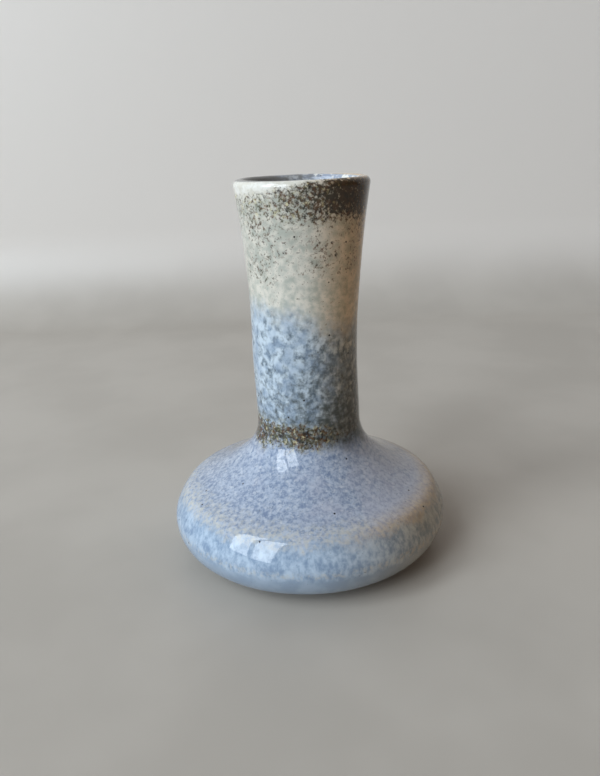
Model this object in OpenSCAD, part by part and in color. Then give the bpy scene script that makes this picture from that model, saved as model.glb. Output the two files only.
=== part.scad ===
// Bud vase: a squat round belly on a low foot ring, with a tall straight neck that opens into a rounded lip.
// Three clay sections are joined with slip, and every glaze coat is a thin shell of its own on the clay.
// Each wall is a run of arcs that meet without a kink, turned about the upright axis.

/* [Overall] */
// Height from the foot to the top of the lip
vase_h = 109; // [104:1:125]
// Radius of the belly at its widest
belly_r = 41.2; // [40.5:0.1:43]
// Height of the belly's widest line
belly_z = 11.9; // [11.6:0.1:13]
// Outer radius of the straight part of the neck
neck_r = 15.1; // [14.5:0.1:16.5]
// Outer radius of the mouth where the lip starts to round over
lip_r = 18.4; // [17:0.1:20]
// Height at which the neck starts to open
flare_z = 62; // [56:1:68]

/* [Walls] */
// Full wall, glazes and clay together
wall = 3.2; // [3:0.1:3.4]
// Thickness of every glaze coat
glaze_t = 0.5; // [0.3:0.1:0.6]
// Height of the inside floor above the ground
floor_z = 6.3; // [6:0.1:6.8]
// Height of a slip joint between two clay sections
slip_t = 0.6; // [0.4:0.1:0.8]

/* [Foot] */
// Radius where the underside turns down into the foot ring
foot_r = 29.5; // [28:0.1:30.5]
// Width of the flat face that the vase stands on
foot_w = 4; // [3:0.5:5]
// Depth of the hollow inside the foot ring
recess_h = 1.6; // [1:0.1:2]

/* [Colours] */
// Bare stoneware
clay_colour = "#b9a48a"; // [#b9a48a:Buff, #8c6f57:Brown, #d8cfc0:White]
// Slip in the joints
slip_colour = "#cdbda6"; // [#cdbda6:Cream, #9b7f66:Brown]

/* [Hidden] */
$fn = 180;
steps = 10;                     // straight pieces in each arc of an outline

// directions in which the wall faces, in degrees above level
break_face = 70;                // where the shoulder meets the rounded break
band_face = 35;                 // top of the steep band below the break
brow_face = 24;                 // foot of that band
fillet_face = 48;               // where the shoulder turns up into the neck
root_face = 24;                 // where the body glaze ends, part of the way up that turn
border_face = -10;              // where the body glaze ends on the underside of the belly
chine_face = -41;               // where the underside tightens into its corner
under_face = -86;               // the nearly level underside
foot_face = -15;                // side of the foot ring
inner_face = 68.7;              // shoulder of the hollow, where its corner ends

// radii of the arcs between them
brow_bend = 7.4;
band_bend = 26;
break_bend = 5.2;
fillet_bend = 14;
low_bend = 10.3;
chine_bend = 5;
foot_bend = 1.5;
lip_bend = wall / 2;
foot_edge = 0.4;                // small chamfer round the flat of the foot

function dir(a) = [cos(a), sin(a)];
function last(list) = list[len(list) - 1];
function reversed(list) = [for (i = [len(list) - 1:-1:0]) list[i]];

// points of one arc that starts at p facing a and ends facing b; a negative radius is a hollow arc
function arc(p, r, a, b) = [for (i = [1:steps]) p + r * (dir(a + (b - a) * i / steps) - dir(a))];

// points of a run of arcs, each given as [radius, facing at its end], moved into the wall by inset
function bends(p, a, list, inset, k = 0) =
    k == len(list) ? [] :
    let (q = arc(p, list[k][0] - inset, a, list[k][1]))
    concat(q, bends(last(q), list[k][1], list, inset, k + 1));

// The shoulder's hollow arc takes up what is left between the break and the neck
break_r = belly_r - brow_bend * (1 - cos(brow_face)) - band_bend * (cos(brow_face) - cos(band_face))
    - break_bend * (cos(band_face) - cos(break_face));
shoulder_bend = (break_r - neck_r - fillet_bend * (1 - cos(fillet_face))) / (cos(fillet_face) - cos(break_face));

// The neck's opening is one arc from upright at flare_z to the lip
lip_rise = vase_h - lip_bend - flare_z;
lip_face_first = 2 * atan((lip_r - neck_r) / lip_rise);
flare_rise = lip_rise - lip_bend * sin(lip_face_first);
lip_face = -2 * atan((lip_r - neck_r) / flare_rise);
flare_bend = flare_rise / sin(-lip_face);
colour_face = lip_face / 4;     // where the neck glaze gives way to the rim glaze
mouth_face = lip_face * 0.8;    // where the rim glaze ends inside the mouth

// corner radius of the hollow, which takes up what is left between the belly and the neck
function hollow_bend(inset) =
    (belly_r - neck_r - (shoulder_bend + inset) * (cos(fillet_face) - cos(inner_face))
    - (fillet_bend + inset) * (1 - cos(fillet_face))) / (1 - cos(inner_face));

// Outer surface, upwards from the widest line, and downwards to the side of the foot
function belly_start(inset) = [belly_r - inset, belly_z];
function flare_start(inset) = [neck_r - inset, flare_z];
function border_point(inset) = last(bends(belly_start(inset), 0, [[low_bend, border_face]], inset));
function shoulder_run(inset, stop) =
    bends(belly_start(inset), 0, [[brow_bend, brow_face], [band_bend, band_face], [break_bend, break_face],
    [-shoulder_bend, fillet_face], [-fillet_bend, stop]], inset);
function flare_run(inset, stop) =
    concat([flare_start(inset)], bends(flare_start(inset), 0, [[-flare_bend, stop]], inset));
function low_run(inset) =
    let (corner = bends(border_point(inset), border_face, [[low_bend, chine_face], [chine_bend, under_face]], inset),
         p = last(corner),
         drop = (p.x - foot_r) * tan(90 + under_face),
         q = [foot_r, p.y - drop])
    concat([border_point(inset)], corner, [q], bends(q, under_face, [[-foot_bend, foot_face]], inset));
function foot_bottom(inset) =
    let (p = last(low_run(inset)), edge = p.x - (p.y - foot_edge) * tan(-foot_face))
    [[edge, foot_edge], [edge - foot_edge, 0], [edge - foot_edge - foot_w, 0],
     [edge - 2 * foot_edge - foot_w, foot_edge], [edge - 2 * foot_edge - foot_w, recess_h], [0, recess_h]];

// Inner surface: floor, corner, underside of the shoulder and bore, up to the lip
function hollow_start(inset) = [belly_r - inset, belly_z];
function floor_run(inset) =
    let (corner_bend = belly_z - floor_z + wall - inset)
    bends(hollow_start(inset), 0, [[corner_bend, -90]], 0);
function hollow_run(inset) =
    bends(hollow_start(inset), 0, [[hollow_bend(inset), inner_face], [-shoulder_bend - inset, fillet_face],
    [-fillet_bend - inset, 0]], 0);
function inner_run(inset) =
    concat([[0, last(floor_run(inset)).y]], reversed(floor_run(inset)), [hollow_start(inset)], hollow_run(inset));

// half round of the lip, at a given inset
function lip_run(inset) =
    bends(last(flare_run(inset, lip_face)), lip_face, [[lip_bend, 90], [lip_bend, 180 + lip_face]], inset);

// a band between the surface and one glaze thickness below it
module turned(outline) rotate_extrude() polygon(outline);
module coat(outer, inner) turned(concat(outer, reversed(inner)));

// All the clay, of which each section takes the part between two heights
clay_outline = concat(
    inner_run(wall - glaze_t), flare_run(wall - glaze_t, lip_face), reversed(lip_run(glaze_t)),
    reversed(flare_run(glaze_t, lip_face)), reversed(shoulder_run(glaze_t, 0)),
    [belly_start(glaze_t)], low_run(glaze_t), foot_bottom(glaze_t));
joint_z = last(shoulder_run(0, 0)).y;
module clay_between(low, high)
    rotate_extrude() intersection() {
        polygon(clay_outline);
        translate([0, low]) square([2 * belly_r, high - low]);
    }

module base_bowl() color(clay_colour) clay_between(0, belly_z - slip_t / 2);
module belly_slip_joint() color(slip_colour) clay_between(belly_z - slip_t / 2, belly_z + slip_t / 2);
module shoulder_dome() color(clay_colour) clay_between(belly_z + slip_t / 2, joint_z);
module neck_slip_joint() color(slip_colour) clay_between(joint_z, joint_z + slip_t);
module neck_tube() color(clay_colour) clay_between(joint_z + slip_t, vase_h);

module base_glaze() color("#b3bccb") coat(low_run(0), low_run(glaze_t));

function body_path(inset) = concat([border_point(inset), belly_start(inset)], shoulder_run(inset, root_face));
module body_glaze() color("#9aa6b8") coat(body_path(0), body_path(glaze_t));

function neck_path(inset) =
    let (root = last(shoulder_run(inset, root_face)))
    concat([root], bends(root, root_face, [[-fillet_bend, 0]], inset), flare_run(inset, colour_face));
module neck_glaze() color("#7f93ad") coat(neck_path(0), neck_path(glaze_t));

// outside from the change of colour, over the lip, and a little way down inside the mouth
function rim_out(inset) =
    let (p = last(flare_run(inset, colour_face)))
    concat([p], bends(p, colour_face, [[-flare_bend, lip_face]], inset));
function rim_in(inset) =
    let (p = last(flare_run(inset, mouth_face)))
    concat([p], bends(p, mouth_face, [[-flare_bend, lip_face]], inset));
function rim_path(surface, back) = concat(rim_out(surface), lip_run(surface), reversed(rim_in(back)));
module rim_glaze() color("#dcd8c9") coat(rim_path(0, wall), rim_path(glaze_t, wall - glaze_t));

function lining_path(inset) = concat(inner_run(inset), flare_run(inset, mouth_face));
module lining_glaze() color("#c9ced6") coat(lining_path(wall), lining_path(wall - glaze_t));

base_bowl();
belly_slip_joint();
shoulder_dome();
neck_slip_joint();
neck_tube();
base_glaze();
body_glaze();
neck_glaze();
rim_glaze();
lining_glaze();
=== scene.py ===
# Bud vase: glaze coats turned over the clay, with fired-glaze finishes, on a plain pale table.
from math import atan, ceil, cos, degrees, pi, radians, sin, tan
import bpy
from mathutils import Matrix, Vector


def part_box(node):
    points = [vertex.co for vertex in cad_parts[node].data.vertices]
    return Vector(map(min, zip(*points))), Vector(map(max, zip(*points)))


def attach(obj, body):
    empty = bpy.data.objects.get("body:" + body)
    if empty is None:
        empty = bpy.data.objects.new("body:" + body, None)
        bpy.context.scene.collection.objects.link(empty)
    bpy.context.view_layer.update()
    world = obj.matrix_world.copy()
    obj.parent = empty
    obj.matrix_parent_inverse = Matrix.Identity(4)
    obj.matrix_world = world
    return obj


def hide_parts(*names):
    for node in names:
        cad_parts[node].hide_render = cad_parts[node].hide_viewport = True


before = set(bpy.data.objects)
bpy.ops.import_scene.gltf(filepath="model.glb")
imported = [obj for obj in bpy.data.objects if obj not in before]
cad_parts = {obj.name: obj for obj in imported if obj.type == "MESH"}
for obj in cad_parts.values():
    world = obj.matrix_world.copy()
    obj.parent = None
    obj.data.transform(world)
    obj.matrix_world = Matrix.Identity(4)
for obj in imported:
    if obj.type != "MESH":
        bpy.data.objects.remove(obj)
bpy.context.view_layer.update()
mm = 0.001
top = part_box("rim_glaze")[1].z / mm                     # heights and radii below are in mm
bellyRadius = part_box("body_glaze")[1].x / mm
bellyHeight = (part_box("belly_slip_joint")[0].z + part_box("belly_slip_joint")[1].z) / 2 / mm

# camera, in front of the vase and a little above its lip
camera = {
    "lens": 32.47,          # mm, on a sensor 36 mm tall
    "tilt": 19.36,          # degrees down
    "roll": 1.9,            # degrees
    "back": 195.2,
    "above": 8.95,
    "aside": -1.25,
}


def placeCamera(c):
    tilt, roll = radians(c["tilt"]), radians(c["roll"])
    right, up, view = Vector((1, 0, 0)), Vector((0, sin(tilt), cos(tilt))), Vector((0, cos(tilt), -sin(tilt)))
    axes = (right * cos(roll) - up * sin(roll), up * cos(roll) + right * sin(roll), -view)
    data = bpy.data.cameras.new("camera")
    data.sensor_fit = "VERTICAL"
    data.sensor_height = 36
    data.lens = c["lens"]
    data.clip_start = 0.005
    eye = bpy.data.objects.new("camera", data)
    bpy.context.scene.collection.objects.link(eye)
    turn = Matrix([[axis[row] for axis in axes] for row in range(3)]).to_4x4()
    eye.matrix_world = Matrix.Translation(Vector((c["aside"], -c["back"], top + c["above"])) * mm) @ turn
    bpy.context.scene.camera = eye


placeCamera(camera)
print("camera set")


# a socket of a material, with the sums and textures that the finishes below are written in
class Wire:
    def __init__(self, tree, socket=None):
        self.tree = tree
        self.socket = socket

    def make(self, kind, settings, sockets, out=0):
        node = self.tree.nodes.new(kind)
        for name, value in settings.items():
            setattr(node, name, value)
        for name, value in sockets.items():
            if isinstance(value, Wire):
                self.tree.links.new(value.socket, node.inputs[name])
            else:
                node.inputs[name].default_value = value
        return Wire(self.tree, node.outputs[out]) if node.outputs else None

    def calc(self, operation, *values):
        return self.make("ShaderNodeMath", {"operation": operation}, dict(enumerate(values)))

    def __add__(self, other):
        return self.calc("ADD", self, other)

    def __radd__(self, other):
        return self.calc("ADD", other, self)

    def __sub__(self, other):
        return self.calc("SUBTRACT", self, other)

    def __rsub__(self, other):
        return self.calc("SUBTRACT", other, self)

    def __mul__(self, other):
        return self.calc("MULTIPLY", self, other)

    def __rmul__(self, other):
        return self.calc("MULTIPLY", other, self)

    def __truediv__(self, other):
        return self.calc("DIVIDE", self, other)

    def step(self, low, high):                     # 0 below low, 1 above high, smooth between
        return self.make("ShaderNodeMapRange", {"interpolation_type": "SMOOTHSTEP"},
                         {"Value": self, "From Min": low, "From Max": high})

    def ring(self, centre, half, soft):            # 1 near the centre, 0 past half and soft
        return self.step(centre - half - soft, centre - half) * (
            1 - self.step(centre + half, centre + half + soft))

    def noise(self, size, detail=2.0, rough=0.5):              # size of a fleck in mm
        return self.make("ShaderNodeTexNoise", {}, {
            "Vector": self, "Scale": 1 / (size * mm), "Detail": detail, "Roughness": rough})

    def cells(self, size, out):                    # one point to a cell of that size in mm
        return self.make("ShaderNodeTexVoronoi", {}, {"Vector": self, "Scale": 1 / (size * mm)}, out)

    def stretch(self, x, y, z):
        return self.make("ShaderNodeMapping", {}, {"Vector": self, "Scale": (x, y, z)})

    def axis(self, out):
        return self.make("ShaderNodeSeparateXYZ", {}, {"Vector": self}, out)

    def length(self):
        return self.make("ShaderNodeVectorMath", {"operation": "LENGTH"}, {0: self}, "Value")

    def mix(self, low, high, way="MIX"):           # two colours, this wire is the share of high
        return self.make("ShaderNodeMix", {"data_type": "RGBA", "blend_type": way},
                         {0: self, 6: low, 7: high}, 2)


def paint(code):
    parts = [int(code[i:i + 2], 16) / 255 for i in (1, 3, 5)]
    return [p / 12.92 if p < 0.04 else ((p + 0.055) / 1.055) ** 2.4 for p in parts] + [1.0]


def startMaterial(name):
    material = bpy.data.materials.new(name)
    material.use_nodes = True
    material.node_tree.nodes.clear()
    place = Wire(material.node_tree).make("ShaderNodeTexCoord", {}, {}, "Object")
    return material, place


def finishMaterial(place, colour, roughness, height, depth, ior):
    bump = place.make("ShaderNodeBump", {}, {"Height": height, "Distance": depth * mm})
    shader = place.make("ShaderNodeBsdfPrincipled", {}, {
        "Base Color": colour, "Roughness": roughness, "Normal": bump, "IOR": ior})
    place.make("ShaderNodeOutputMaterial", {}, {"Surface": shader})


glaze = {
    "changeHeight": 73,         # blue below, cream above
    "changeLean": 4,            # how much higher that is on the left
    "rootHeight": 39,           # speckled ring where the neck starts
    "breakHeight": 20.2,        # pale line round the belly
    "borderHeight": 10.6,       # the smooth base coat ends
    "shoulderHeight": 30,       # middle of the shoulder, which the painted warm shade leaves out
    "rimFrom": 96, "rimFull": 105,                              # the dense speckle under the lip
    "speckSpacing": 4.2,        # between the few lone specks
    "gloss": 0.01, "ior": 1.47,
    "bumpDepth": 0.02,
    "cream": "#dfd9cc", "celadon": "#b3b5aa", "chalk": "#f1eee6", "buttermilk": "#d9cfa4",
    "iron": "#150d08", "rust": "#5a3c22", "olive": "#4b4a35", "ochre": "#958a66", "soot": "#1c1512",
    "mist": "#cad7e2", "blue": "#8ea2ba", "slate": "#5f6e7b", "moss": "#3d4543",
    "lilac": "#b0bacb", "haze": "#7585a0", "shell": "#c8cdd6", "mauve": "#b7b6c2",
    # inside is painted shade, the dark grey of the mouth's left inner wall
    "sky": "#b7c8da", "steel": "#8196b0", "sand": "#c8c5bb", "inside": "#7a7875", "insideBlue": "#a3abbb",
    # warm is the tint of the painted warm shade on the right side
    "smooth": "#a3b3c5", "smoothShade": "#92a3b7", "warm": "#f8d8b2",
}


def glazeMaterial(name, g):
    material, place = startMaterial(name)
    tint = {key: paint(value) for key, value in g.items() if isinstance(value, str)}
    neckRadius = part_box("neck_tube")[1].x
    h = place.axis("Z") / mm
    side = place.axis("X") / neckRadius                         # -1 on the neck's left, 1 on its right
    near = side * 0.8 - place.axis("Y") / neckRadius * 0.6      # 1 on the right, a little to the front
    radius = place.stretch(1, 1, 0).length() / mm
    rightward = place.axis("X") / mm / radius                   # -1 to 1 from left to right, at any radius
    drift = place.noise(9, 3, 0.6) - 0.5
    ragged = place.noise(1.6, 3, 0.6) - 0.5
    wavyHeight = h + drift * 6 + ragged * 4
    fine = place.noise(0.8, 2, 0.6)
    middling = place.noise(1.7, 3, 0.6)

    # shoulder: fine lilac mottling with darker pinpricks
    mottle = place.noise(1.15, 4, 0.7) * 0.7 + middling * 0.3
    shoulder = mottle.step(0.36, 0.62).mix(tint["haze"], tint["lilac"])
    shoulder = (place.noise(1.4, 4, 0.7).step(0.50, 0.70) * 0.75).mix(shoulder, tint["shell"])
    shoulder = ((drift * 0.7 + side * 0.10).step(-0.06, 0.2) * 0.45).mix(shoulder, tint["mauve"])
    shoulder = (place.noise(1.0, 3, 0.7).step(0.58, 0.72) * 0.5).mix(shoulder, tint["slate"])

    # steep band: blue, a little streaked downwards, under a broken pale line
    streak = place.stretch(1, 1, 0.65).noise(1.6, 4, 0.65) * 0.7 + place.noise(4, 2, 0.5) * 0.3
    band = streak.step(0.34, 0.66).mix(tint["steel"], tint["sky"])
    paleness = place.stretch(1, 1, 0.8).noise(1.1, 3, 0.6)
    paleLine = (h + drift * 5 + ragged * 3).ring(g["breakHeight"], 0.2, 3.0) * paleness.step(0.34, 0.70)
    lowLine = (h + ragged * 2).ring(g["borderHeight"] + 1.4, 0.2, 1.3) * paleness.step(0.40, 0.68)
    belly = wavyHeight.step(g["breakHeight"] - 3, g["breakHeight"] + 1.5).mix(band, shoulder)
    belly = (paleLine * (0.72 - side * 0.06)).mix(belly, tint["sand"])

    # neck: soft blue blotches below, darker to the right and towards its foot, cream above
    depth = (side * 0.45 - (h - 58) / 24 + (middling - 0.5) * 3.4 + drift).step(-0.35, 1.25)
    blotch = place.stretch(1, 1, 0.85).noise(1.7, 4, 0.6)
    lower = (blotch - side * 0.07).step(0.30, 0.64).mix(tint["slate"], tint["mist"])
    lower = ((place.noise(4, 2, 0.6) - side * 0.05).step(0.62, 0.36) * 0.6).mix(lower, tint["blue"])
    lower = (depth * 0.9).mix(lower, tint["moss"])
    patchy = middling * 0.7 + place.noise(5, 2, 0.6) * 0.3
    upper = patchy.step(0.34, 0.62).mix(tint["celadon"], tint["cream"])
    change = h - g["changeHeight"] + side * g["changeLean"] + drift * 14 + ragged * 5
    neck = change.step(-5, 5).mix(lower, upper)
    lipLine = h - near.step(-0.2, 1.0) * 3.6 + ragged * 3
    chalk = middling.step(0.38, 0.66).mix(tint["cream"], tint["chalk"])
    neck = (lipLine.step(103.2, 105.8) * 0.9).mix(neck, chalk)
    # inside the mouth: painted shade, dark grey on the left inner wall and pale blue on the right inner wall
    # that the window lights
    mouth = (side + drift * 2 + ragged).step(-0.5, 0.5).mix(tint["inside"], tint["insideBlue"])
    mouth = (ragged.step(0.0, 0.12) * side.step(-0.4, 0.6)).mix(mouth, tint["chalk"])
    within = (radius - (h - 100) * 0.18).step(15.6, 14.9) * h.step(90, 92)
    neck = within.mix(neck, mouth)

    # the coats run into each other
    base = place.noise(6).step(0.3, 0.7).mix(tint["smoothShade"], tint["smooth"])
    rootRing = (h + drift * 7 + ragged * 4).ring(g["rootHeight"] + 0.6, 1.6, 4.0)
    # painted shade: the neck's darker colour reaches lower on the right, into the shaded fillet at the neck's
    # root
    colour = (wavyHeight + side * 3).step(g["rootHeight"] - 4, g["rootHeight"] + 1.5).mix(belly, neck)
    colour = (h + ragged * 4).step(g["borderHeight"] - 1.2, g["borderHeight"] + 1.4).mix(base, colour)
    colour = (lowLine * 0.5).mix(colour, tint["sand"])
    leftward = 1 - side.step(0.0, 0.7)
    outside = (1 - within) * (1 - lipLine.step(104.6, 106.6))
    rimZone = (h + ragged * 6 + drift * 4).step(g["rimFrom"], g["rimFull"]) * outside
    ochre = rootRing * leftward * place.noise(1.5, 2, 0.6).step(0.38, 0.60)
    colour = (ochre * 0.55).mix(colour, tint["ochre"])
    flecks = place.noise(1.3, 3, 0.65)
    colour = ((rootRing * leftward * 0.8 + rimZone) * flecks.step(0.50, 0.66) * 0.6).mix(
        colour, tint["buttermilk"])

    # iron speckle, from single specks to a dark crust under the lip and a ring at the root
    dark = (near + drift * 1.2 + ragged * 0.8).step(0.50, 1.15)
    dark = dark * (h + ragged * 5).step(94, 104)
    rim = rimZone * (dark * 0.42 + near.step(-0.4, 0.6) * 0.14 + 0.42)
    clustered = h.step(66, 78) * (drift * 0.9 + 0.10) * (1 - rimZone) * outside
    speckled = h.step(76, 104) * (1 - rimZone) * outside
    amount = rootRing * (leftward * 0.42 + 0.26) + rim + clustered + speckled * (dark * 0.16 + 0.30)
    crust = (place.noise(0.85, 4, 0.7) + amount * 0.42).step(0.61, 0.84)
    iron = place.noise(1.2).step(0.40, 0.60).mix(tint["iron"], tint["rust"])
    iron = (place.noise(2.2).step(0.44, 0.60) * (1 - near.step(0.3, 0.8) * 0.6)).mix(iron, tint["olive"])
    iron = (dark * rimZone * 0.7).mix(iron, tint["iron"])
    colour = (crust * 0.95).mix(colour, iron)
    pale = (rootRing * leftward + rimZone * (1 - dark * 0.75)) * flecks.step(0.60, 0.70)
    colour = (pale * 0.75).mix(colour, tint["buttermilk"])

    # painted warm shade: the right side, which faces away from the window, is tinted warm, except on the
    # shoulder
    paintedWarmShade = rightward.step(0.0, 0.9) * (1 - h.ring(g["shoulderHeight"], 7, 3) * 0.9) * (1 - within)
    colour = paintedWarmShade.mix(colour, tint["warm"], "MULTIPLY")

    # a few lone dark specks anywhere
    chance = place.make("ShaderNodeSeparateColor", {}, {"Color": place.cells(g["speckSpacing"], "Color")})
    lone = (1 - place.cells(g["speckSpacing"], "Distance").step(0.045, 0.085)) * chance.step(0.60, 0.62)
    colour = lone.mix(colour, tint["soot"])

    height = place.noise(3.5) * 0.7 + fine * 0.03 + crust * 0.15
    roughness = place.noise(2.0) * 0.02 + crust * 0.10 + g["gloss"]
    finishMaterial(place, colour, roughness, height, g["bumpDepth"], g["ior"])
    return material


lining = {"pale": "#c4c9d2", "deep": "#8f97a6", "speck": "#4b4038", "gloss": 0.1,
          "ior": 1.52, "bumpDepth": 0.05}


def liningMaterial(name, g):
    material, place = startMaterial(name)
    mottle = place.noise(1.4, 3, 0.6).step(0.38, 0.62).mix(paint(g["deep"]), paint(g["pale"]))
    speck = place.noise(0.8, 2, 0.6).step(0.62, 0.68)
    colour = speck.mix(mottle, paint(g["speck"]))
    roughness = place.noise(2.0) * 0.05 + g["gloss"]
    finishMaterial(place, colour, roughness, place.noise(3.0), g["bumpDepth"], g["ior"])
    return material


clay = {"light": "#c2ae94", "dark": "#a08a70", "fleck": "#5b4030", "slip": "#cdbda6", "slipDark": "#b09c82",
        "roughness": 0.72, "ior": 1.45, "bumpDepth": 0.12}


def clayMaterial(name, light, dark, fleck):
    material, place = startMaterial(name)
    grit = place.noise(0.6, 4, 0.7)
    colour = (grit * 0.6 + place.noise(6, 3, 0.6) * 0.4).step(0.35, 0.65).mix(paint(dark), paint(light))
    colour = place.noise(0.9).step(0.68, 0.72).mix(colour, paint(fleck))
    finishMaterial(place, colour, grit * 0.2 + clay["roughness"], grit, clay["bumpDepth"], clay["ior"])
    return material


# outline of the vase: arcs given as a radius and the way that the wall faces at the arc's end,
# in degrees above level; a negative radius is a hollow arc
shape = {
    "brow": (7.4, 24), "band": (26, 35), "break": (5.2, 70), "fillet": (14, 48), "rootFace": 24,
    "borderFace": -10, "low": (10.3, -41), "chine": (5, -86), "footFillet": (1.5, -15), "footRadius": 29.5,
    "neckRadius": 15.1, "lipRadius": 18.4, "flareHeight": 62, "wall": 3.2, "floorHeight": 6.3,
    "innerFace": 68.7, "coat": 0.5,
    "coatMerge": 0.002, "clayMerge": 0.001,                     # points closer than this become one
    "coatCrease": 40, "clayCrease": 35,                         # sharper corners stay sharp, in degrees
    "step": 0.6,                # between rings
    "turns": 160,               # faces round a ring
}


def aim(face):
    return Vector((cos(radians(face)), sin(radians(face))))


def followArcs(start, face, bends, inset=0):
    points = [start]
    for bend, faceEnd in bends:
        radius = bend - inset
        centre = points[-1] - radius * aim(face)
        count = max(6, ceil(abs(radius * radians(faceEnd - face)) / shape["step"]))
        points += [centre + radius * aim(face + (faceEnd - face) * i / count) for i in range(1, count + 1)]
        face = faceEnd
    return points


def followLine(start, end):
    count = max(1, ceil((end - start).length / shape["step"]))
    return [start.lerp(end, i / count) for i in range(count + 1)]


def shoulderBend(s):
    faces = [0, s["brow"][1], s["band"][1], s["break"][1]]
    bends = [s["brow"][0], s["band"][0], s["break"][0]]
    used = sum(r * (cos(radians(a)) - cos(radians(b))) for r, a, b in zip(bends, faces, faces[1:]))
    fillet = cos(radians(s["fillet"][1]))
    return (bellyRadius - used - s["neckRadius"] - s["fillet"][0] * (1 - fillet)) / (
        fillet - cos(radians(s["break"][1])))


def flare(s):                                       # radius and last facing of the neck's opening
    lip, opening = s["wall"] / 2, s["lipRadius"] - s["neckRadius"]
    rise = top - lip - s["flareHeight"]
    rise -= lip * sin(2 * atan(opening / rise))
    face = -2 * degrees(atan(opening / rise))
    return rise / sin(radians(-face)), face


def outlines(s):
    hollow, (opens, lipFace) = shoulderBend(s), flare(s)
    fillet, lip, wall = s["fillet"], s["wall"] / 2, s["wall"]
    changeFace, mouthFace = lipFace / 4, lipFace * 0.8
    widest = Vector((bellyRadius, bellyHeight))
    border = followArcs(widest, 0, [(s["low"][0], s["borderFace"])])[-1]

    corner = followArcs(border, s["borderFace"], [s["low"], s["chine"]])
    slope = tan(radians(90 + s["chine"][1]))
    turn = Vector((s["footRadius"], corner[-1].y - (corner[-1].x - s["footRadius"]) * slope))
    foot = followArcs(turn, s["chine"][1], [(-s["footFillet"][0], s["footFillet"][1])])
    base = (corner + followLine(corner[-1], turn)[1:] + foot[1:])[::-1]

    shoulder = followArcs(widest, 0, [s["brow"], s["band"], s["break"], (-hollow, fillet[1]),
                                      (-fillet[0], s["rootFace"])])
    body = followArcs(border, s["borderFace"], [(s["low"][0], 0)]) + shoulder[1:]

    root = followArcs(shoulder[-1], s["rootFace"], [(-fillet[0], 0)])
    start = Vector((s["neckRadius"], s["flareHeight"]))
    neck = root + followLine(root[-1], start)[1:] + followArcs(start, 0, [(-opens, changeFace)])[1:]

    outer = followArcs(neck[-1], changeFace, [(-opens, lipFace), (lip, 90), (lip, 180 + lipFace)])
    startIn = start - Vector((wall, 0))
    mouth = followArcs(startIn, 0, [(-opens, mouthFace)], wall)
    rim = outer + followArcs(mouth[-1], mouthFace, [(-opens, lipFace)], wall)[::-1][1:]

    widestIn = widest - Vector((wall, 0))
    inner = cos(radians(s["innerFace"]))
    filletIn, hollowIn = fillet[0] + wall, hollow + wall
    cornerIn = (bellyRadius - s["neckRadius"] - hollowIn * (cos(radians(fillet[1])) - inner)
                - filletIn * (1 - cos(radians(fillet[1])))) / (1 - inner)
    up = followArcs(widestIn, 0, [(cornerIn, s["innerFace"]), (-hollowIn, fillet[1]), (-filletIn, 0)])
    down = followArcs(widestIn, 0, [(bellyHeight - s["floorHeight"], -90)])
    floor = followLine(Vector((0, s["floorHeight"])), down[-1])
    inside = floor + down[::-1][1:] + up[1:] + followLine(up[-1], startIn)[1:] + mouth[1:]
    return {"base": base, "body": body, "neck": neck, "rim": rim, "lining": inside[::-1]}


def pickOnly(piece):
    bpy.ops.object.select_all(action="DESELECT")
    piece.select_set(True)
    bpy.context.view_layer.objects.active = piece


def editAll(piece):
    pickOnly(piece)
    bpy.ops.object.mode_set(mode="EDIT")
    bpy.ops.mesh.select_all(action="SELECT")


def applyModifier(piece, kind, **settings):
    pickOnly(piece)
    modifier = piece.modifiers.new(kind.lower(), kind)
    for name, value in settings.items():
        setattr(modifier, name, value)
    bpy.ops.object.modifier_apply(modifier=modifier.name)


def turnOutline(name, points):
    bpy.ops.object.select_all(action="DESELECT")
    bpy.ops.mesh.primitive_plane_add(size=mm, location=(points[0].x * mm, 0, points[0].y * mm))
    piece = bpy.context.object
    piece.name = piece.data.name = name
    bpy.ops.object.transform_apply(location=True, rotation=True, scale=True)
    editAll(piece)
    bpy.ops.mesh.merge(type="CENTER")
    for here, there in zip(points, points[1:]):
        move = ((there.x - here.x) * mm, 0, (there.y - here.y) * mm)
        bpy.ops.mesh.extrude_region_move(TRANSFORM_OT_translate={"value": move})
    bpy.ops.mesh.select_all(action="SELECT")
    bpy.ops.mesh.spin(steps=shape["turns"], angle=2 * pi, center=(0, 0, 0), axis=(0, 0, 1))
    bpy.ops.mesh.select_all(action="SELECT")
    bpy.ops.mesh.remove_doubles(threshold=shape["coatMerge"] * mm)
    bpy.ops.object.mode_set(mode="OBJECT")
    return piece


# what the hand does to a thrown pot: a lean that changes with height, soft waves, throwing rings inside
hand = {
    "lean": (0, 0.5, 0.7, 1.1, 1.2, 0.8, 0.4, 0.6, 0.8, 0.9, 0.9, 1.0),     # to the right, from the foot up
    "rightLift": (0, 0, 0, 0, 0, 0, 0, 0, 0, 0, 0.1, 0.3),                  # of the right side
    "backLift": (0, 0, 0.3, 0.6, 0.3, 0, 0, 0, 0, 0, 0, 0),                 # of the right side at the back
    "cageWidth": 2.4,           # in belly radii
    "waveSize": 14, "waveDepth": 0.22,
    "ringDepth": 0.09, "ringPitch": 5.5,
}


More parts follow.
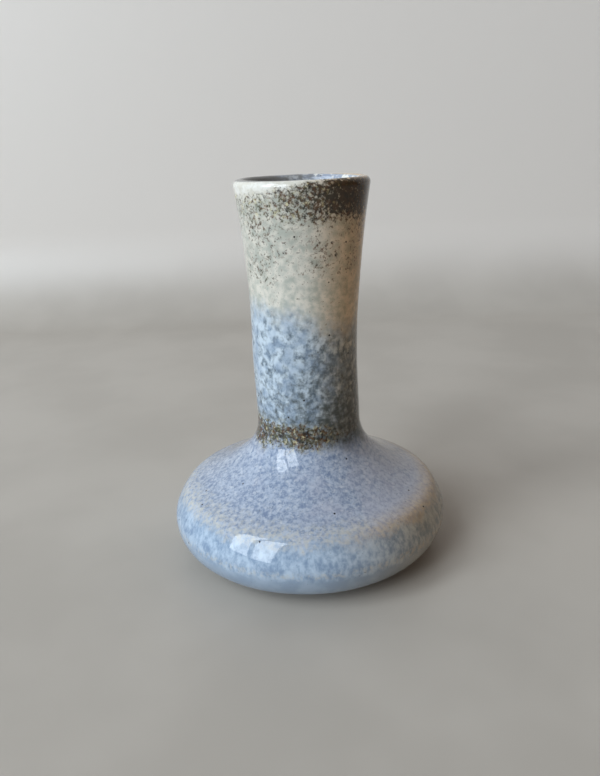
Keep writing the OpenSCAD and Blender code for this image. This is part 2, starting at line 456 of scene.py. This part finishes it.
def bendCage(h):
    bpy.ops.object.select_all(action="DESELECT")
    bpy.ops.object.add(type="LATTICE", location=(0, 0, top / 2 * mm))
    cage = bpy.context.object
    across = h["cageWidth"] * bellyRadius * mm
    cage.scale = (across, across, top * mm)
    cage.data.points_u = cage.data.points_v = 3
    cage.data.points_w = len(h["lean"])
    for index, point in enumerate(cage.data.points):
        level, column, row = index // 9, index % 3, index // 3 % 3
        lift = h["rightLift"][level] * column / 2 + h["backLift"][level] * (column == 2) * (row == 2)
        point.co_deform.x += h["lean"][level] * mm / cage.scale.x
        point.co_deform.z += lift * mm / cage.scale.z
    bpy.context.view_layer.update()
    return cage


def rippled(points, h):                             # throwing rings, as small waves across the wall
    made = [points[0]]
    travel = 0
    for before, here, after in zip(points, points[1:], points[2:]):
        travel += (here - before).length
        along = (after - before).normalized()
        across = Vector((-along.y, along.x))
        made.append(here + across * h["ringDepth"] * sin(2 * pi * travel / h["ringPitch"]))
    return made + [points[-1]]


def claimNode(piece, node, slot):
    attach(piece, "root")
    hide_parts(node)


def finishCoat(piece, cage, waves):
    applyModifier(piece, "DISPLACE", texture=waves, texture_coords="LOCAL", mid_level=0.5,
                  strength=hand["waveDepth"] * mm)
    applyModifier(piece, "LATTICE", object=cage)
    applyModifier(piece, "SOLIDIFY", thickness=shape["coat"] * mm, offset=-1, use_even_offset=True)
    pickOnly(piece)
    bpy.ops.object.shade_smooth_by_angle(angle=radians(shape["coatCrease"]))


def clayPiece(name, node, cage):
    piece = bpy.data.objects.new(name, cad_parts[node].data.copy())
    bpy.context.scene.collection.objects.link(piece)
    editAll(piece)
    bpy.ops.mesh.remove_doubles(threshold=shape["clayMerge"] * mm)
    bpy.ops.object.mode_set(mode="OBJECT")
    applyModifier(piece, "LATTICE", object=cage)
    pickOnly(piece)
    bpy.ops.object.shade_smooth_by_angle(angle=radians(shape["clayCrease"]))
    return piece


cage = bendCage(hand)
waves = bpy.data.textures.new("waves", "CLOUDS")
waves.noise_scale = hand["waveSize"] * mm
lines = outlines(shape)
lines["lining"] = rippled(lines["lining"], hand)

glazed = glazeMaterial("outerGlaze", glaze)
lined = liningMaterial("liningGlaze", lining)
coats = {"base": glazed, "body": glazed, "neck": glazed, "rim": glazed, "lining": lined}
for key, finish in coats.items():
    coat = turnOutline(key + "Coat", lines[key])
    finishCoat(coat, cage, waves)
    coat.data.materials.append(finish)
    claimNode(coat, key + "_glaze", key + "_glaze")
print("glaze coats turned")

bare = clayMaterial("bareClay", clay["light"], clay["dark"], clay["fleck"])
slip = clayMaterial("jointSlip", clay["slip"], clay["slipDark"], clay["fleck"])
sections = {"base_bowl": bare, "belly_slip_joint": slip, "shoulder_dome": bare, "neck_slip_joint": slip,
            "neck_tube": bare}
for node, finish in sections.items():
    words = node.split("_")
    section = clayPiece(words[0] + "".join(word.title() for word in words[1:]), node, cage)
    section.data.materials.clear()
    section.data.materials.append(finish)
    claimNode(section, node, "joint_slip" if finish is slip else "bare_clay")
bpy.data.objects.remove(cage)
print("clay sections in place")

# table that sweeps up into a plain wall
stage = {
    "front": 400, "back": 330,  # from the vase to the table's near edge and to the wall
    "width": 2400, "wall": 1200,
    "sweep": 60,                # radius where the table turns up
    "colour": "#bbb4ab", "shade": "#b3aca3", "wallColour": "#e8e1da",
}


def buildStage(g):
    bpy.ops.object.select_all(action="DESELECT")
    depth = g["front"] + g["back"]
    bpy.ops.mesh.primitive_plane_add(size=1, location=(0, (g["back"] - g["front"]) / 2 * mm, 0))
    table = bpy.context.object
    table.name = "table"
    table.scale = (g["width"] * mm, depth * mm, 1)
    bpy.ops.object.transform_apply(location=True, rotation=True, scale=True)
    bpy.ops.object.mode_set(mode="EDIT")
    bpy.ops.mesh.select_mode(type="EDGE")
    bpy.ops.mesh.select_all(action="DESELECT")
    bpy.ops.object.mode_set(mode="OBJECT")
    for edge in table.data.edges:
        edge.select = all(table.data.vertices[v].co.y > (g["back"] - 1) * mm for v in edge.vertices)
    bpy.ops.object.mode_set(mode="EDIT")
    bpy.ops.mesh.extrude_region_move(TRANSFORM_OT_translate={"value": (0, 0, g["wall"] * mm)})
    bpy.ops.object.mode_set(mode="OBJECT")
    for edge in table.data.edges:
        ends = [table.data.vertices[v].co for v in edge.vertices]
        edge.select = all(e.y > (g["back"] - 1) * mm and e.z < mm for e in ends)
    bpy.ops.object.mode_set(mode="EDIT")
    bpy.ops.mesh.bevel(offset=g["sweep"] * mm, segments=12, affect="EDGES")
    bpy.ops.object.mode_set(mode="OBJECT")
    bpy.ops.object.shade_smooth()
    material, place = startMaterial("tablePaint")
    colour = place.noise(60, 3, 0.5).step(0.35, 0.65).mix(paint(g["shade"]), paint(g["colour"]))
    rise = place.axis("Z").step(0, g["sweep"] * mm)
    colour = rise.mix(colour, paint(g["wallColour"]))
    finishMaterial(place, colour, place.noise(30) * 0.08 + 0.36, place.noise(9, 3, 0.5), 0.05, 1.45)
    table.data.materials.append(material)


buildStage(stage)

# daylight from two window panes on the left, and air that is cool on that side and warm on the other
lights = {
    "window": {"turn": -51, "rise": 33, "away": 2000, "colour": (0.84, 0.93, 1.0), "glow": 21},
    "leftPane": {"width": 600, "height": 1700, "shift": -370, "lift": 130},
    "rightPane": {"width": 620, "height": 1330, "shift": 370, "lift": -60},
    "coolAir": (0.68, 0.82, 0.96), "warmAir": (0.20, 0.135, 0.085), "airPower": 0.75,
}


def paneLight(name, pane, g):
    turn, rise = radians(g["turn"]), radians(g["rise"])
    away = Vector((sin(turn) * cos(rise), -cos(turn) * cos(rise), sin(rise)))
    beside, above = Vector((cos(turn), sin(turn), 0)), Vector((0, 0, top / 2 + pane["lift"]))
    data = bpy.data.lights.new(name, "AREA")
    data.shape = "RECTANGLE"
    data.size, data.size_y = pane["width"] * mm, pane["height"] * mm
    data.energy, data.color = g["glow"] * data.size * data.size_y, g["colour"]
    lamp = bpy.data.objects.new(name, data)
    bpy.context.scene.collection.objects.link(lamp)
    lamp.location = (away * g["away"] + beside * pane["shift"] + above) * mm
    lamp.rotation_euler = (-away).to_track_quat("-Z", "Y").to_euler()


def lightAir(g):
    world = bpy.data.worlds.new("air")
    world.use_nodes = True
    background = world.node_tree.nodes["Background"].inputs
    around = Wire(world.node_tree).make("ShaderNodeTexCoord", {}, {}, "Generated")
    warmSide = (around.axis("X") + around.axis("Y") * 0.3).step(-0.9, 0.1)
    air = warmSide.mix((*g["coolAir"], 1), (*g["warmAir"], 1))
    world.node_tree.links.new(air.socket, background["Color"])
    background["Strength"].default_value = g["airPower"]
    bpy.context.scene.world = world


for pane in ("leftPane", "rightPane"):
    paneLight(pane, lights[pane], lights["window"])
lightAir(lights)
bpy.context.scene.view_settings.view_transform = "Standard"
print("table and lights set")
